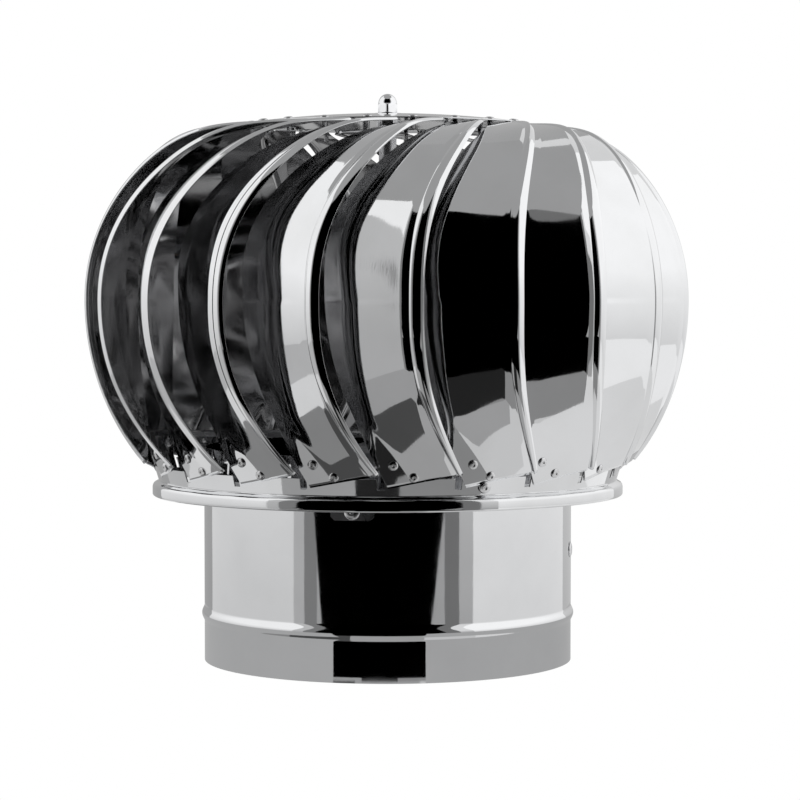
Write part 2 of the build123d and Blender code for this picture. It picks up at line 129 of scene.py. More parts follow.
# Studio: a dark opening round the camera, soft light walls left and right with their dim edges,
# and a duller wall behind. Low strips close to the collar stand in the reflections of its bead.
studio_card("dark_front", -42, 34, 0.0, 2.35, 1.5, 0.0)
studio_card("dark_foot", -44, 34, -0.17, 0.0, 1.5, 0.0, foot=(-38, 24))
studio_card("dark_low", -42, 36, -0.75, -0.17, 1.5, 0.0)
studio_card("left_dim", -50, -42, -0.75, 2.5, 1.52, 0.24)
studio_card("left_half", -57, -50, -0.75, 2.5, 1.52, 0.62, 0.5)
studio_card("left_wall", -138, -57, -0.17, 2.6, 1.55, 1.12, 0.72)
studio_card("left_low", -138, -57, -0.75, -0.17, 1.55, 0.55)
studio_card("right_dim", 34, 43, -0.75, 2.35, 1.52, 0.2)
studio_card("right_half", 43, 52, -0.75, 2.35, 1.52, 0.9, 0.45)
studio_card("right_wall", 52, 138, -0.17, 2.7, 1.55, 1.22, 0.84)
studio_card("right_low", 52, 138, -0.75, -0.17, 1.55, 1.05)
studio_card("right_back", 138, 166, -0.75, 2.7, 1.55, 0.85, 0.55)
studio_card("back_wall", 166, 222, -0.75, 2.7, 1.57, 0.45, 0.4)
studio_card("strip_front", -20.7, 14.7, -0.003, 0.027, 0.17, 0.0)
studio_card("strip_left", -141, -20.7, -0.03, 0.027, 0.17, 0.47)
studio_card("strip_right", 14.7, 141, -0.03, 0.027, 0.17, 0.47)

# Table: a flat ring round the collar, in sectors whose brightness follows the walls, and a dark disc inside
# the collar. The sectors' glow is painted light and shade on the table: each strength stands for how brightly
# the walls light the table there.
table_height = -0.031
near, middle, far = 0.135, 0.34, 0.52
table_sector("table_front", -13, 5, middle, far, table_height, 0.02)
table_sector("table_front_left", -45, -13, middle, far, table_height, 0.4)
table_sector("table_front_right", 5, 40, middle, far, table_height, 0.3)
table_sector("table_near", -16, 16, near, middle, table_height, 0.42)
table_sector("table_near_left", -45, -16, near, middle, table_height, 0.08)
table_sector("table_near_right", 16, 40, near, middle, table_height, 0.7)
table_sector("table_right", 40, 150, near, far, table_height, 0.85)
table_sector("table_left", -150, -45, near, middle, table_height, 0.28)
table_sector("table_far_left", -150, -45, middle, far, table_height, 0.8)
table_sector("table_back", 150, 210, near, far, table_height, 0.35)
# Painted shade: the disc inside the collar glows black where the collar shades the table.
table_sector("table_inside", 0, 360, 0.0, 0.1235, -0.0004, 0.0)

# Room: white where the camera looks past the object, and an even grey in the sheet where no
# card stands.
world = bpy.data.worlds.new("room")
bpy.context.scene.world = world
world.use_nodes = True
room = world.node_tree
room.nodes.clear()
room_out = room.nodes.new("ShaderNodeOutputWorld")
room_mix = room.nodes.new("ShaderNodeMixShader")
room_path = room.nodes.new("ShaderNodeLightPath")
room_seen = room.nodes.new("ShaderNodeBackground")
room_lit = room.nodes.new("ShaderNodeBackground")
room_seen.inputs["Color"].default_value = (1, 1, 1, 1)
room_lit.inputs["Color"].default_value = (0.42, 0.42, 0.42, 1)
room.links.new(room_path.outputs["Is Camera Ray"], room_mix.inputs[0])
room.links.new(room_lit.outputs[0], room_mix.inputs[1])
room.links.new(room_seen.outputs[0], room_mix.inputs[2])
room.links.new(room_mix.outputs[0], room_out.inputs[0])

# Floor: plain white sweep a hair under the collar's foot, seen by the camera as even white and
# kept out of the sheet's reflections.
floor_half = 6
floor_height = -0.0006
corners = [(-1, -1), (1, -1), (1, 1), (-1, 1)]
floor_mesh = bpy.data.meshes.new("floor")
floor_mesh.from_pydata(
    [(x * floor_half, y * floor_half, floor_height) for x, y in corners], [], [(0, 1, 2, 3)]
)
floor = bpy.data.objects.new("floor", floor_mesh)
bpy.context.collection.objects.link(floor)
floor.data.materials.append(light_material("floor_white", 1.0))
floor.visible_glossy = False
floor.visible_diffuse = False
floor.visible_shadow = False


def polish_group():
    """Node group for polished sheet: broad and fine waves, hair scratches and faint stains.
    Tint and gloss vary with two noises, the height is the sum of waves and stretched scratches."""
    group = bpy.data.node_groups.new("polish", "ShaderNodeTree")
    face = group.interface
    for name, kind, value in (
        ("Tint", "NodeSocketColor", (0.7, 0.7, 0.7, 1)),
        ("Stain", "NodeSocketColor", (0.6, 0.6, 0.6, 1)),
        ("Gloss", "NodeSocketFloat", 0.05),
        ("Dullness", "NodeSocketFloat", 0.12),
        ("Wave Size", "NodeSocketFloat", 30.0),
        ("Wave Height", "NodeSocketFloat", 0.3),
        ("Scratch Height", "NodeSocketFloat", 0.02),
    ):
        face.new_socket(name, in_out="INPUT", socket_type=kind).default_value = value
    face.new_socket("Color", in_out="OUTPUT", socket_type="NodeSocketColor")
    for name in ("Roughness", "Height"):
        face.new_socket(name, in_out="OUTPUT", socket_type="NodeSocketFloat")
    nodes, links = group.nodes, group.links
    given = nodes.new("NodeGroupInput")
    result = nodes.new("NodeGroupOutput")
    place = nodes.new("ShaderNodeTexCoord")
    stain = nodes.new("ShaderNodeTexNoise")
    stain.inputs["Scale"].default_value = 22
    stain.inputs["Detail"].default_value = 5
    links.new(place.outputs["Object"], stain.inputs["Vector"])
    spread = nodes.new("ShaderNodeMapRange")
    spread.inputs["From Min"].default_value = 0.42
    spread.inputs["From Max"].default_value = 0.75
    links.new(stain.outputs["Fac"], spread.inputs["Value"])
    colour = nodes.new("ShaderNodeMix")
    colour.data_type = "RGBA"
    links.new(spread.outputs["Result"], colour.inputs["Factor"])
    links.new(given.outputs["Tint"], colour.inputs["A"])
    links.new(given.outputs["Stain"], colour.inputs["B"])
    links.new(colour.outputs["Result"], result.inputs["Color"])
    haze = nodes.new("ShaderNodeTexNoise")
    haze.inputs["Scale"].default_value = 55
    haze.inputs["Detail"].default_value = 6
    links.new(place.outputs["Object"], haze.inputs["Vector"])
    rough = nodes.new("ShaderNodeMapRange")
    rough.inputs["From Min"].default_value = 0.35
    rough.inputs["From Max"].default_value = 0.8
    links.new(haze.outputs["Fac"], rough.inputs["Value"])
    links.new(given.outputs["Gloss"], rough.inputs["To Min"])
    links.new(given.outputs["Dullness"], rough.inputs["To Max"])
    links.new(rough.outputs["Result"], result.inputs["Roughness"])
    wave = nodes.new("ShaderNodeTexNoise")
    wave.inputs["Detail"].default_value = 1.5
    links.new(place.outputs["Object"], wave.inputs["Vector"])
    links.new(given.outputs["Wave Size"], wave.inputs["Scale"])
    wave_lift = nodes.new("ShaderNodeMath")
    wave_lift.operation = "MULTIPLY"
    links.new(wave.outputs["Fac"], wave_lift.inputs[0])
    links.new(given.outputs["Wave Height"], wave_lift.inputs[1])
    stretch = nodes.new("ShaderNodeMapping")
    stretch.inputs["Scale"].default_value = (900, 900, 60)
    links.new(place.outputs["Object"], stretch.inputs["Vector"])
    scratch = nodes.new("ShaderNodeTexNoise")
    scratch.inputs["Scale"].default_value = 1
    scratch.inputs["Detail"].default_value = 3
    links.new(stretch.outputs["Vector"], scratch.inputs["Vector"])
    scratch_lift = nodes.new("ShaderNodeMath")
    scratch_lift.operation = "MULTIPLY_ADD"
    links.new(scratch.outputs["Fac"], scratch_lift.inputs[0])
    links.new(given.outputs["Scratch Height"], scratch_lift.inputs[1])
    links.new(wave_lift.outputs[0], scratch_lift.inputs[2])
    links.new(scratch_lift.outputs[0], result.inputs["Height"])
    return group


polish = polish_group()


def polished_metal(name, tint, stain, gloss, dullness, wave_size, wave_height, scratch_height):
    """A bare metal whose colour, gloss and surface come from the polish group. Gloss and dullness
    are its least and greatest roughness, and the heights are in millimetres."""
    made = bpy.data.materials.new(name)
    made.use_nodes = True
    nodes, links = made.node_tree.nodes, made.node_tree.links
    shader = nodes["Principled BSDF"]
    shader.inputs["Metallic"].default_value = 1.0
    finish = nodes.new("ShaderNodeGroup")
    finish.node_tree = polish
    finish.inputs["Tint"].default_value = (*tint, 1)
    finish.inputs["Stain"].default_value = (*stain, 1)
    finish.inputs["Gloss"].default_value = gloss
    finish.inputs["Dullness"].default_value = dullness
    finish.inputs["Wave Size"].default_value = wave_size
    finish.inputs["Wave Height"].default_value = wave_height
    finish.inputs["Scratch Height"].default_value = scratch_height
    bumps = nodes.new("ShaderNodeBump")
    bumps.inputs["Strength"].default_value = 1.0
    bumps.inputs["Distance"].default_value = 0.001
    links.new(finish.outputs["Color"], shader.inputs["Base Color"])
    links.new(finish.outputs["Roughness"], shader.inputs["Roughness"])
    links.new(finish.outputs["Height"], bumps.inputs["Height"])
    links.new(bumps.outputs["Normal"], shader.inputs["Normal"])
    return made


def finished_piece(name, points, faces, material, body, nodes, back=None, back_faces=None):
    """Puts a mesh into the scene as a smooth piece that rides on a body and stands for CAD nodes.
    Some of its faces may carry a second material."""
    mesh = bpy.data.meshes.new(name)
    mesh.from_pydata(points.tolist(), [], faces)
    mesh.polygons.foreach_set("use_smooth", np.ones(len(mesh.polygons), bool))
    mesh.materials.append(material)
    if back:
        mesh.materials.append(back)
        mesh.polygons.foreach_set("material_index", back_faces.astype(np.int32))
    piece = bpy.data.objects.new(name, mesh)
    bpy.context.collection.objects.link(piece)
    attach(piece, body)
    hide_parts(*nodes)


def loop_faces(turns, loop, turn_closed=True):
    """Faces of a grid whose second direction is a closed loop: one quad between each pair of
    neighbours, and over the seam of the first direction too where that is closed."""
    last = turns if turn_closed else turns - 1
    column, row = np.meshgrid(np.arange(last), np.arange(loop), indexing="ij")
    here = column * loop + row
    up = column * loop + (row + 1) % loop
    beside = ((column + 1) % turns) * loop + row
    far = ((column + 1) % turns) * loop + (row + 1) % loop
    return np.stack([here, beside, far, up], -1).reshape(-1, 4).tolist()


def turned(profile, segments=256):
    """A closed outline of radius and height carried once round the upright axis. The outline
    runs anticlockwise as seen with the axis on its left, so the faces point outward."""
    turn = np.linspace(0, 2 * math.pi, segments, endpoint=False)[:, None]
    radius, height = profile[None, :, 0], profile[None, :, 1]
    points = np.stack([radius * np.cos(turn), radius * np.sin(turn), height + 0 * turn], -1)
    return points.reshape(-1, 3) / 1000, loop_faces(segments, len(profile))


# Duct collar: rolled from bright stainless sheet a millimetre thick, with one bead pressed
# outward near its foot as a stop for the duct that slides on.
collar_radius = 125.0
collar_height = 145.0
collar_sheet = 1.0
bead_height = 32.0
bead_half = 5.4
bead_depth = 1.75
bead_fullness = 0.8


def bead_bulge(height):
    """Outward bulge of the bead: a raised cosine, narrow and rounded."""
    along = np.clip(np.abs(height - bead_height) / bead_half, 0, 1)
    return bead_depth * (0.5 + 0.5 * np.cos(math.pi * along)) ** bead_fullness


wall = np.concatenate([
    [0, 0.15, 8, 16, 22], np.linspace(25, 39, 41),
    [42, 60, 80, 100, 120, collar_height - 0.15, collar_height],
])
collar_outline = np.concatenate([
    np.stack([collar_radius + bead_bulge(wall), wall], -1),
    np.stack([collar_radius - collar_sheet + bead_bulge(wall), wall], -1)[::-1],
])
collar_points, collar_faces = turned(collar_outline, 360)
bright_sheet = (0.74, 0.745, 0.755)
collar_metal = polished_metal("collar_steel", bright_sheet, (0.7, 0.705, 0.715), 0.03, 0.07, 9.0, 0.35, 0.004)
finished_piece(
    "duct_collar", collar_points, collar_faces, collar_metal, "collar", ["neck_collar"]
)

# Bars, housings, bushes, hub, arms, shaft and their fasteners: mill steel strip, turned steel and
# bronze pieces, which stay as the frame has them and only get their finish here.
finishes = {
    "bar_steel": polished_metal(
        "bar_steel", (0.52, 0.525, 0.54), (0.4, 0.4, 0.41), 0.22, 0.4, 60, 0.2, 0.05
    ),
    "turned_steel": polished_metal(
        "turned_steel", (0.6, 0.605, 0.62), (0.48, 0.48, 0.49), 0.16, 0.3, 120, 0.05, 0.03
    ),
    "bronze": polished_metal(
        "bush_bronze", (0.6, 0.42, 0.2), (0.42, 0.29, 0.15), 0.25, 0.4, 90, 0.1, 0.03
    ),
    "fastener_steel": polished_metal(
        "fastener_steel", (0.72, 0.725, 0.74), (0.6, 0.6, 0.61), 0.08, 0.16, 150, 0.1, 0.01
    ),
    "rivet": polished_metal(
        "rivet_metal", (0.66, 0.66, 0.67), (0.5, 0.5, 0.5), 0.16, 0.3, 300, 0.1, 0.02
    ),
}
for entry in frame["record"]["subparts"]:
    node = frame["nodes"][entry["node"]]
    finish = finishes.get(entry["material_slot"])
    if finish:
        node.data.materials.clear()
        node.data.materials.append(finish)

# Lower ring: a cone of bright sheet spun over a folded rim, its upper edge cut into ears that
# the vane feet are riveted to, with a narrow slot left of each ear.
vane_count = 20
pitch = 360 / vane_count
first_bend = 3.8
band_foot_radius = 155.7
band_foot_height = 122.5
band_slope = 0.3
band_sheet = 1.0
slope_stretch = 1.044
rim_radius = 160.0
rim_bottom = 112.6
fold_radius = 1.2
band_top = 133.5
ear_top = 149.0
ear_low = 138.0
slot_bottom = 126.5


def band_radius(height):
    """Outside radius of the cone at a height."""
    return band_foot_radius + band_slope * (height - band_foot_height)


def ring_columns():
    """Angles round the ring and the height of its upper edge there: one pitch's places, repeated
    for every vane. Pairs of close angles make the upright edges of slots and ears."""
    gap = 0.02
    ear_left, ear_right = -4.3, 4.3
    slot_left = 12.0
    local = [
        (ear_left + gap, ear_top), (ear_left + 2.1, ear_top - 2.9), (0, (ear_top + ear_low) / 2),
        (2.2, ear_low + 2.9), (ear_right - gap, ear_low), (ear_right + gap, band_top),
        (6.2, band_top), (8.1, band_top), (10, band_top), (slot_left - gap, band_top),
        (slot_left + gap, slot_bottom), (slot_left + 0.85, slot_bottom),
        (ear_left + pitch - gap, slot_bottom),
    ]
    turn, top = np.array(local).T
    turns = first_bend + pitch * np.arange(vane_count)[:, None] + turn
    return turns.ravel(), np.tile(top, vane_count)


def ring_mesh():
    """The ring's closed outline carried round: down the band's outside, over the rolled rim and
    up the band's inside, with both sides of the band stretched to the upper edge."""
    turns, tops = ring_columns()
    share = np.array([0, 0.02, 0.25, 0.5, 0.75, 0.98, 1])
    outer_height = band_foot_height + (tops[:, None] - band_foot_height) * share[::-1]
    outer_radius = band_radius(outer_height)
    inner_foot = band_foot_height - 0.4
    inner_height = inner_foot + (tops[:, None] - inner_foot) * share
    inner_radius = band_radius(inner_height) - band_sheet * slope_stretch
    bend = np.radians(np.linspace(0, 180, 9))
    shoulder = [(-4.1, 122.3), (-3.6, 121.7), (-2.0, 121.1), (-0.9, 120.5), (-0.3, 119.6)]
    outside = [(0, 118.2), (0, 115.0)]
    fold = np.stack([fold_radius * (np.cos(bend) - 1), rim_bottom + fold_radius * (1 - np.sin(bend))], -1)
    inside = [(-2.4, 116.5), (-2.4, 119.9), (-3.4, 120.6), (-5.2, 121.5)]
    rim = np.concatenate([shoulder, outside, fold, inside]) + (rim_radius, 0)
    radius = np.concatenate([outer_radius, np.tile(rim[:, 0], (len(turns), 1)), inner_radius], 1)
    height = np.concatenate([outer_height, np.tile(rim[:, 1], (len(turns), 1)), inner_height], 1)
    angle = np.radians(turns)[:, None]
    points = np.stack([radius * np.sin(angle), -radius * np.cos(angle), height], -1) / 1000
    return points.reshape(-1, 3), loop_faces(len(turns), radius.shape[1])


ring_points, ring_faces = ring_mesh()
ring_metal = polished_metal("ring_steel", bright_sheet, (0.68, 0.685, 0.69), 0.035, 0.09, 14.0, 0.3, 0.004)
finished_piece("lower_ring_sheet", ring_points, ring_faces, ring_metal, "rotor", ["lower_ring"])

# Vanes: twenty strips of bright thin sheet, each pressed to a curved panel with an inner flange
# and a free lip rolled to a low arch, and with a flat foot tab folded along a soft crease to lie
# on the ring's ear. Each is a little uneven, as hand-formed sheet is.
equator_radius = 205.3
equator_height = 244.0
dome_drop = 190.0
tip_radius = 95.0
tip_height = 362.5
foot_height = 136.3
vane_sheet = 0.6
seat_gap = 0.52
seat_sheet = 0.65
bend_angle = 2.6
panel_angle = 13.6
flange_angle = 18.8
flange_taper = 2.8
flange_taper_power = 6
flange_least = 1.2
crease_step = 0.7
panel_foot_spread = 1.5
bend_foot_taper = 1.6
bend_inset = 1.4
panel_inset = 20.9
flange_inset = 27.5
panel_ease = 1.8
crease_height = 165.0
crease_foot_angle = 7.9
foot_tilt = 11.4
tip_tilt = 24.0
foot_sweep = 10.0
foot_sweep_power = 2.5
tip_sweep = 35.3
tip_slope = 0.09
sweep_power = 2.35
depth_power = 1.4
panel_spread = 2.2
flange_spread = 2.5
bend_spread = 0.7
lip_roll = 1.6
lip_dip = 0.6
lip_lead = 0.12
leg_columns = (8, 3, 20, 16)
panel_crowding = 1.5
edge_width = 0.12
bend_rounding = ((0, 2, 2.7, 4), (3.0, 3.0, 0.7, 0.7))
crease_reach = 24
sheet_waves = 0.28
sheet_sink = 0.3
calm_foot, calm_tip = 0.12, 1.02
edge_calm, end_calm = 0.25, 0.15


def smooth_curve(knots, start_slope, end_slope, samples):
    """Points and directions of a smooth curve through the knots, evenly spaced along it: cubic
    pieces over the chord lengths, with the slope at each knot found from equal bending."""
    chord = np.linalg.norm(np.diff(knots, axis=0), axis=1)
    place = np.concatenate([[0], np.cumsum(chord)])
    count = len(knots)
    system = np.zeros((count, count))
    given = np.zeros((count, 2))
    system[0, 0] = system[-1, -1] = 1
    given[0], given[-1] = start_slope, end_slope
    middle = np.arange(1, count - 1)
    system[middle, middle - 1] = chord[1:]
    system[middle, middle] = 2 * (chord[1:] + chord[:-1])
    system[middle, middle + 1] = chord[:-1]
    rise = np.diff(knots, axis=0) / chord[:, None]
    given[middle] = 3 * (chord[1:, None] * rise[:-1] + chord[:-1, None] * rise[1:])
    slope = np.linalg.solve(system, given)
    fine = np.linspace(0, place[-1], 4001)
    piece = np.clip(np.searchsorted(place, fine, side="right") - 1, 0, count - 2)
    width = chord[piece][:, None]
    t = (fine - place[piece])[:, None] / width
    spots = (
        (2 * t**3 - 3 * t**2 + 1) * knots[piece] + (t**3 - 2 * t**2 + t) * width * slope[piece]
        + (3 * t**2 - 2 * t**3) * knots[piece + 1] + (t**3 - t**2) * width * slope[piece + 1]
    )
    length = np.concatenate([[0], np.cumsum(np.linalg.norm(np.diff(spots, axis=0), axis=1))])
    even = samples * length[-1]
    out = np.stack([np.interp(even, length, spots[:, axis]) for axis in (0, 1)], -1)
    grad = np.gradient(spots, length, axis=0)
    way = np.stack([np.interp(even, length, grad[:, axis]) for axis in (0, 1)], -1)
    return out, way / np.linalg.norm(way, axis=1, keepdims=True), length[-1]


def panel_radius(height):
    """Radius of the inner bend: on the ring's cone at the foot, then easing upright."""
    cone = band_radius(np.minimum(height, crease_height)) + seat_gap + seat_sheet
    down = np.clip((equator_height - height) / (equator_height - crease_height), 0, 1)
    top = equator_radius - panel_inset
    return np.where(height <= crease_height, cone, top - (top - cone) * down**panel_ease)


def dome_radius(height):
    """Radius of the free edges below the widest place, an ellipse."""
    return equator_radius * np.sqrt(1 - ((equator_height - height) / dome_drop) ** 2)


def lower_sections(share):
    """Origins, directions and bend points of the strip from its widest place down to its foot:
    the free edge on the dome, the panel easing onto the ring's cone, the section plane tilted
    below the crease, and all of them turned further round towards the foot."""
    height = equator_height - (equator_height - foot_height) * share
    below = np.clip((crease_height - height) / (crease_height - foot_height), 0, 1)
    tilt = np.radians(foot_tilt * below)
    radius = dome_radius(height)
    turn = np.radians(first_bend + bend_angle + foot_sweep * share**foot_sweep_power)
    panel = panel_angle + panel_foot_spread * share**2
    crease = (panel - crease_step) * (1 - below) + crease_foot_angle * below
    bend = bend_angle - bend_foot_taper * share**3
    angles = np.radians(np.stack([flange_angle - flange_taper * share, panel, crease, bend, 0 * share], -1))
    level = height[:, None] - radius[:, None] * np.sin(angles) * np.tan(tilt)[:, None]
    inner = panel_radius(level)
    outer = dome_radius(np.minimum(level, equator_height)) - bend_inset
    lift = np.clip(level[:, 0] - ear_top - 1, 0, None) / (equator_height - ear_top - 1)
    place = inner.copy()
    place[:, 0] -= (flange_inset - panel_inset) * np.sqrt(lift)
    above = inner[:, 2] + (outer[:, 2] - inner[:, 2]) * crease_step / (panel - bend)
    place[:, 2] = np.where(below > 0, inner[:, 2], above)
    place[:, 3] = outer[:, 3]
    place[:, 4] = radius
    across = -place * np.sin(angles) / np.cos(tilt)[:, None]
    lift_out = place * np.cos(angles) - radius[:, None]
    origin = np.stack([radius * np.sin(turn), -radius * np.cos(turn), height], -1)
    side = np.stack([np.cos(turn) * np.cos(tilt), np.sin(turn) * np.cos(tilt), np.sin(tilt)], -1)
    outward = np.stack([np.sin(turn), -np.cos(turn), 0 * turn], -1)
    return origin, side, outward, across, lift_out


def upper_sections(share):
    """The same from the widest place up to the tip, square to the bulge of the dome: the strip
    turns round with a power of the share along it, its depth fades to nothing at the tip, and
    panel and flange are widest at half way."""
    knots = np.array([
        (1, 0), (0.959, 0.287), (0.861, 0.515), (0.696, 0.738), (0.481, 0.911), (0.354, 0.963), (0, 1),
    ])
    knots = knots * (equator_radius - tip_radius, tip_height - equator_height) + (tip_radius, equator_height)
    end = np.array([-1, tip_slope]) / math.hypot(1, tip_slope)
    spot, way, length = smooth_curve(knots, (0, 1), end, share)
    radius, height = spot.T
    turn = np.radians(first_bend + bend_angle + tip_sweep * share**sweep_power)
    lean = np.arctan(radius * math.radians(tip_sweep) * sweep_power * share ** (sweep_power - 1) / length)
    tilt = np.radians(tip_tilt) * share**2
    spread = np.cos(lean) / np.cos(lean - tilt)
    depth = 1 - share**depth_power
    swell = np.sin(math.pi * share) ** 2
    panel = panel_angle + panel_spread * swell
    flange = flange_angle + flange_spread * swell - flange_taper * share**flange_taper_power
    flange = np.maximum(flange, panel + flange_least)
    bend = bend_angle + bend_spread * swell
    angles = np.radians(np.stack([flange, panel, panel - crease_step, bend, 0 * share], -1))
    insets = np.array([flange_inset, panel_inset, 0, bend_inset, 0])
    sunk = insets * depth[:, None]
    across = -(radius[:, None] - sunk * way[:, 1:]) * np.sin(angles) * spread[:, None]
    drop = -(sunk * np.cos(angles) + radius[:, None] * way[:, 1:] * (1 - np.cos(angles)))
    step = crease_step / (panel - bend)
    for lines in (across, drop):
        lines[:, 2] = lines[:, 1] + (lines[:, 3] - lines[:, 1]) * step
    outward = np.stack([way[:, 1] * np.sin(turn), -way[:, 1] * np.cos(turn), -way[:, 0]], -1)
    upward = np.stack([way[:, 0] * np.sin(turn), -way[:, 0] * np.cos(turn), way[:, 1]], -1)
    sideways = np.stack([np.cos(turn), np.sin(turn), 0 * turn], -1)
    side = sideways * np.cos(tilt)[:, None] - upward * np.sin(tilt)[:, None]
    origin = np.stack([radius * np.sin(turn), -radius * np.cos(turn), height], -1)
    return origin, side, outward, across, drop


def face_normals(points):
    """Unit normals of a grid surface, across the strip crossed with along it."""
    along = np.gradient(points, axis=0)
    across = np.gradient(points, axis=1)
    normal = np.cross(across, along)
    return normal / np.linalg.norm(normal, axis=-1, keepdims=True)


def vane_surface(along_count):
    """The strip's outer face on a grid, and the mean share of its columns across it. Across it
    the face follows the four legs between the bend points, with each bend rounded as the mean
    of nearby places on the bent line. Along it the sections follow the dome, with the foot's
    crease softened as the mean of nearby sections. The free lip is then lifted along the
    face's normals by half a sine, less a share that rises just before the lip's bend."""
    below = np.linspace(0, 1, along_count * 2 // 5)[::-1]
    above = np.linspace(0, 1, along_count - len(below) + 1)[1:]
    lower, upper = lower_sections(below), upper_sections(above)
    origin, side, outward, across, lift = (np.concatenate(pair) for pair in zip(lower, upper))
    leg = np.stack([np.diff(across, axis=1), np.diff(lift, axis=1)], -1)
    long = np.linalg.norm(leg, axis=-1)
    start = np.cumsum(long, axis=1) - long
    total = long.sum(1)
    flange, bend, panel, lip = (np.linspace(0, 1, count, endpoint=False) for count in leg_columns)
    share = np.concatenate([flange, bend, 1 - (1 - panel) ** panel_crowding, lip])
    number = np.repeat(np.arange(4), leg_columns)
    walk = start[:, number] + share * long[:, number]
    walk = np.insert(walk, [1, len(number)], edge_width, axis=1)
    walk[:, -1] = total - edge_width
    walk = np.concatenate([walk, total[:, None]], 1)
    place = np.insert(np.append(number + share, 4), [1, len(number)], [0.01, 3.99])
    nearby = np.interp(place, *bend_rounding)[:, None] * np.linspace(-1, 1, 9)
    flat = np.zeros(walk.shape + (9, 2))
    for index in range(4):
        low = -np.inf if index == 0 else 0
        high = np.inf if index == 3 else long[:, index, None, None]
        run = np.clip(walk[..., None] + nearby - start[:, index, None, None], low, high)
        flat += run[..., None] * (leg[:, index] / long[:, index, None])[:, None, None]
    flat = flat.mean(2) + np.stack([across[:, 0], lift[:, 0]], -1)[:, None]
    points = origin[:, None] + flat[..., :1] * side[:, None] + flat[..., 1:] * outward[:, None]
    away = np.clip(np.abs(origin[:, 2] - crease_height) / crease_reach, 0, 1)
    near = 0.5 + 0.5 * np.cos(math.pi * away)
    for _ in range(2):
        mean = np.mean([np.roll(points, step, axis=0) for step in range(-3, 4)], axis=0)
        points += near[:, None, None] * (mean - points)
    arch = np.sin(math.pi * np.clip(place - 3, 0, 1))
    dip = lip_dip * np.clip((place - 3 + lip_lead) / lip_lead, 0, 1)
    roll = lip_roll * (arch - dip)
    return points + face_normals(points) * roll[:, None], (walk / total[:, None]).mean(0)


def hand_waves(points, strength, random):
    """Unevenness of hand-formed sheet: a few long sine waves with random directions and phases."""
    total = np.zeros(points.shape[:-1])
    for size, share in ((95, 1.0), (60, 0.55), (38, 0.28), (24, 0.12)):
        for _ in range(3):
            way = random.normal(size=3)
            way *= 2 * math.pi / (size * np.linalg.norm(way))
            total += share * np.sin(points @ way + random.uniform(0, 2 * math.pi))
    return strength * total / 3


base_face, face_spread = vane_surface(160)
base_normal = face_normals(base_face)
vane_metal = polished_metal("vane_steel", bright_sheet, (0.69, 0.695, 0.7), 0.03, 0.08, 18.0, 0.22, 0.004)
vane_back = polished_metal("vane_inside", (0.5, 0.5, 0.505), (0.4, 0.4, 0.405), 0.06, 0.16, 18.0, 0.22, 0.004)
across_total, along_total = len(face_spread), len(base_face)
along_spread = np.linspace(0, 1, along_total)[:, None]
calm = np.clip(np.minimum(face_spread, 1 - face_spread) / edge_calm, 0, 1)
calm = calm * np.clip(np.minimum(along_spread - calm_foot, calm_tip - along_spread) / end_calm, 0, 1)
loop = 2 * across_total
sheet_faces = [face[::-1] for face in loop_faces(along_total, loop, turn_closed=False)]
for end, flip in ((0, 1), (along_total - 1, -1)):
    outer = np.arange(across_total - 1) + end * loop
    inner = loop - 1 - np.arange(across_total - 1) + end * loop
    cap = np.stack([outer, outer + 1, inner - 1, inner], -1)
    sheet_faces += cap[:, ::-flip].tolist()
around_loop = np.tile(np.arange(loop), along_total - 1)
inside_faces = np.concatenate([around_loop >= across_total, np.zeros(2 * (across_total - 1), bool)])
for number in range(vane_count):
    random = np.random.default_rng(40 + number)
    turn = math.radians(pitch * number)
    spin = np.array([[math.cos(turn), math.sin(turn), 0], [-math.sin(turn), math.cos(turn), 0], [0, 0, 1]])
    waves = hand_waves(base_face @ spin, sheet_waves, random)
    outer_face = base_face + base_normal * ((waves - sheet_sink) * calm)[..., None]
    inner_face = outer_face - base_normal * vane_sheet
    sheet = np.concatenate([outer_face, inner_face[:, ::-1]], 1).reshape(-1, 3) @ spin
    finished_piece(
        f"vane_sheet_{number + 1:02d}", sheet / 1000, sheet_faces, vane_metal,
        "rotor", [f"vane_{number + 1:02d}"], vane_back, inside_faces,
    )

# Top plate: shallow domed disc pressed from the same bright sheet, with a hole for the shaft in
# its middle and its rim lying on the tips of the vanes.
plate_radius = 97.0
plate_edge = 363.3
plate_rise = 6.6
plate_top = plate_edge + plate_rise
plate_sheet = 0.8
plate_hole = 4.4
crown = np.concatenate([np.linspace(plate_hole, plate_radius - 0.3, 40), [plate_radius - 0.1, plate_radius]])
crown_height = plate_top - plate_rise * (crown / plate_radius) ** 2 - 0.01
crown_height[-1] -= 0.12
under_height = crown_height - plate_sheet
under_height[-1] += 0.24
plate_outline = np.concatenate([
    np.stack([crown, under_height], -1), np.stack([crown, crown_height], -1)[::-1],
])
plate_points, plate_faces = turned(plate_outline)
plate_metal = polished_metal("plate_steel", bright_sheet, (0.66, 0.665, 0.67), 0.04, 0.1, 12.0, 0.3, 0.005)
finished_piece(
    "top_plate_sheet", plate_points, plate_faces, plate_metal, "rotor", ["top_plate"]
)

# Acorn nut on the shaft's threaded end: bright steel, a hexagon with turned chamfers and a
# polished dome over it, which stands on the plate's washer.
nut_across = 13.0
washer_thick = 1.2
nut_seat = plate_top + washer_thick
nut_height = 13.0
nut_neck_radius = 6.25
nut_neck_height = 6.6
nut_dome_rise = 6.4


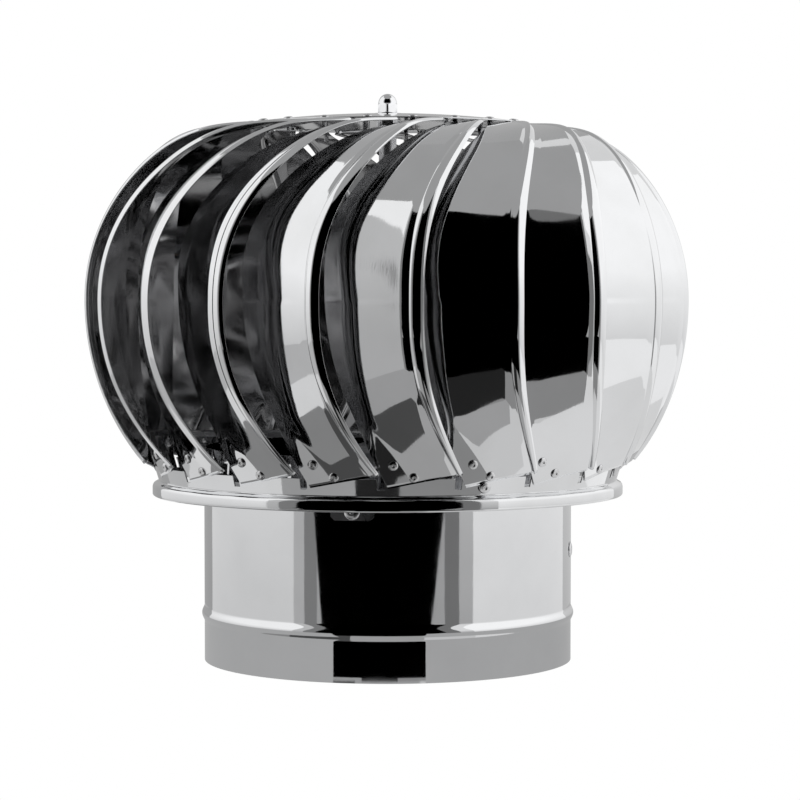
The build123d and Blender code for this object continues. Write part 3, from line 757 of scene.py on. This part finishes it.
def spun(outline, segments, across=None):
    """An outline of radius and height, from the axis to the axis, spun round it. With a width
    across flats given, each ring is the smaller of its circle and a hexagon of that width."""
    turn = np.linspace(0, 2 * math.pi, segments, endpoint=False)[:, None]
    radius = np.tile(outline[None, 1:-1, 0], (segments, 1))
    if across:
        flat = (turn + math.pi / 6) % (math.pi / 3) - math.pi / 6
        radius = np.minimum(radius, across / 2 / np.cos(flat))
    rows = radius.shape[1]
    height = np.tile(outline[None, 1:-1, 1], (segments, 1))
    points = np.stack([radius * np.cos(turn), radius * np.sin(turn), height], -1).reshape(-1, 3)
    points = np.concatenate([points, [(0, 0, outline[0, 1]), (0, 0, outline[-1, 1])]])
    column, row = np.meshgrid(np.arange(segments), np.arange(rows - 1), indexing="ij")
    here = column * rows + row
    beside = ((column + 1) % segments) * rows + row
    faces = np.stack([here, beside, beside + 1, here + 1], -1).reshape(-1, 4).tolist()
    first = np.arange(segments) * rows
    second = np.roll(first, -1)
    foot = np.full(segments, len(points) - 2)
    faces += np.stack([foot, second, first], -1).tolist()
    faces += np.stack([foot + 1, first + rows - 1, second + rows - 1], -1).tolist()
    return points, faces


climb = np.radians(np.linspace(8, 84, 14))
nut_dome = np.stack([nut_neck_radius * np.cos(climb), nut_neck_height + nut_dome_rise * np.sin(climb)], -1)
nut_outline = np.concatenate([
    [(0, 0), (5.8, 0), (6.6, 0.05), (7.0, 0.35), (7.55, 0.8), (7.55, 5.4), (7.0, 6.0), (6.4, 6.35)],
    [(nut_neck_radius, nut_neck_height)], nut_dome, [(0, nut_height)],
])
nut_points, nut_faces = spun(nut_outline + (0, nut_seat), 72, nut_across)
nut_metal = polished_metal(
    "nut_steel", (0.8, 0.805, 0.815), (0.72, 0.725, 0.735), 0.03, 0.07, 90.0, 0.1, 0.002
)
finished_piece("dome_nut", nut_points / 1000, nut_faces, nut_metal, "rotor", ["acorn_nut"])

# Blind rivets: steel, with low domed heads that are hollow in the middle round the pulled mandrel's
# end, and shanks through the sheets. Foot and tip rivets hold the vanes, larger ones the rotor's
# arms, and the largest the fixed bars.
foot_left_turn, foot_left_height = -2.35, 142.3
foot_right_turn, foot_right_height = 2.3, 134.5
tip_rivet_radius, tip_rivet_turn = 93.5, 10.2
arm_rivet_turn, arm_rivet_height = 23.0, 127.4
upper_bar_turn, upper_bar_radius, upper_bar_height = -10.0, 128.0, 110.2
lower_bar_turn, lower_bar_radius, lower_bar_height = 80.0, 125.0, 76.0


def seat_frames(radius, turns, height, slope):
    """Origins and axes of seats that face outward on a wall leaning out by the slope: sideways,
    up the wall and square out of it, at each angle."""
    lean = math.atan(slope)
    turns = np.radians(turns)
    origin = np.stack([radius * np.sin(turns), -radius * np.cos(turns), height + 0 * turns], -1)
    across = np.stack([np.cos(turns), np.sin(turns), 0 * turns], -1)
    level = math.cos(lean)
    out = np.stack([np.sin(turns) * level, -np.cos(turns) * level, -math.sin(lean) + 0 * turns], -1)
    return origin, across, np.cross(out, across), out


def rivet_group(name, node, frames, body, head, shank, rise, length):
    """One piece of many equal rivets: the outline of a rivet spun, then set on every seat."""
    bow = np.radians(np.linspace(12, 72, 7))
    crown = np.stack([head * np.cos(bow) / math.cos(bow[0]) * 0.99, rise * (0.1 + 0.92 * np.sin(bow))], -1)
    hole = crown[-1, 0] * 0.82
    outline = np.concatenate([
        [(0, -length), (shank * 0.8, -length), (shank, 0.3 - length), (shank, 0)],
        [(head, 0), (head, 0.12 * rise)], crown,
        [(hole, rise * 0.86), (hole * 0.95, rise * 0.45), (0, rise * 0.5)],
    ])
    one, faces = spun(outline, 20)
    origin, axes = frames[0], np.stack(frames[1:], 1)
    spots = origin[:, None] + one @ axes
    starts = len(one) * np.arange(len(origin))
    every = [[corner + start for corner in face] for start in starts.tolist() for face in faces]
    finished_piece(name, spots.reshape(-1, 3) / 1000, every, finishes["rivet"], body, [node])


def cone_seats(turns, height):
    """Seats on the outer face of the vanes' feet, which lie along the ring's cone."""
    return seat_frames(float(panel_radius(np.array(height))), turns, height, band_slope)


def joined(first, second):
    """Two sets of seats as one."""
    return tuple(np.concatenate(pair) for pair in zip(first, second))


steps = pitch * np.arange(vane_count)
foot_frames = joined(
    cone_seats(first_bend + foot_left_turn + steps, foot_left_height),
    cone_seats(first_bend + foot_right_turn + steps, foot_right_height),
)
rivet_group(
    "foot_rivets", "vane_foot_rivets", foot_frames, "rotor", head=3.2, shank=1.6, rise=1.2, length=4.0
)
plate_slope = 2 * plate_rise * tip_rivet_radius / plate_radius**2
tip_rivet_height = plate_edge + plate_rise * (1 - (tip_rivet_radius / plate_radius) ** 2)
tip_frames = seat_frames(tip_rivet_radius, tip_rivet_turn + steps, tip_rivet_height, -1 / plate_slope)
rivet_group(
    "tip_rivets", "vane_top_rivets", tip_frames, "rotor", head=3.2, shank=1.6, rise=1.2, length=8.0
)
arm_frames = cone_seats(arm_rivet_turn + 120 * np.arange(3), arm_rivet_height)
rivet_group(
    "ring_arm_rivets", "arm_rivets", arm_frames, "rotor", head=4.0, shank=2.0, rise=1.2, length=8.0
)
both_ends = np.array([0.0, 180.0])
bar_frames = joined(
    seat_frames(upper_bar_radius, upper_bar_turn + both_ends, upper_bar_height, 0),
    seat_frames(lower_bar_radius, lower_bar_turn + both_ends, lower_bar_height, 0),
)
rivet_group(
    "collar_rivets", "bar_rivets", bar_frames, "collar", head=5.2, shank=2.4, rise=1.6, length=7.5
)
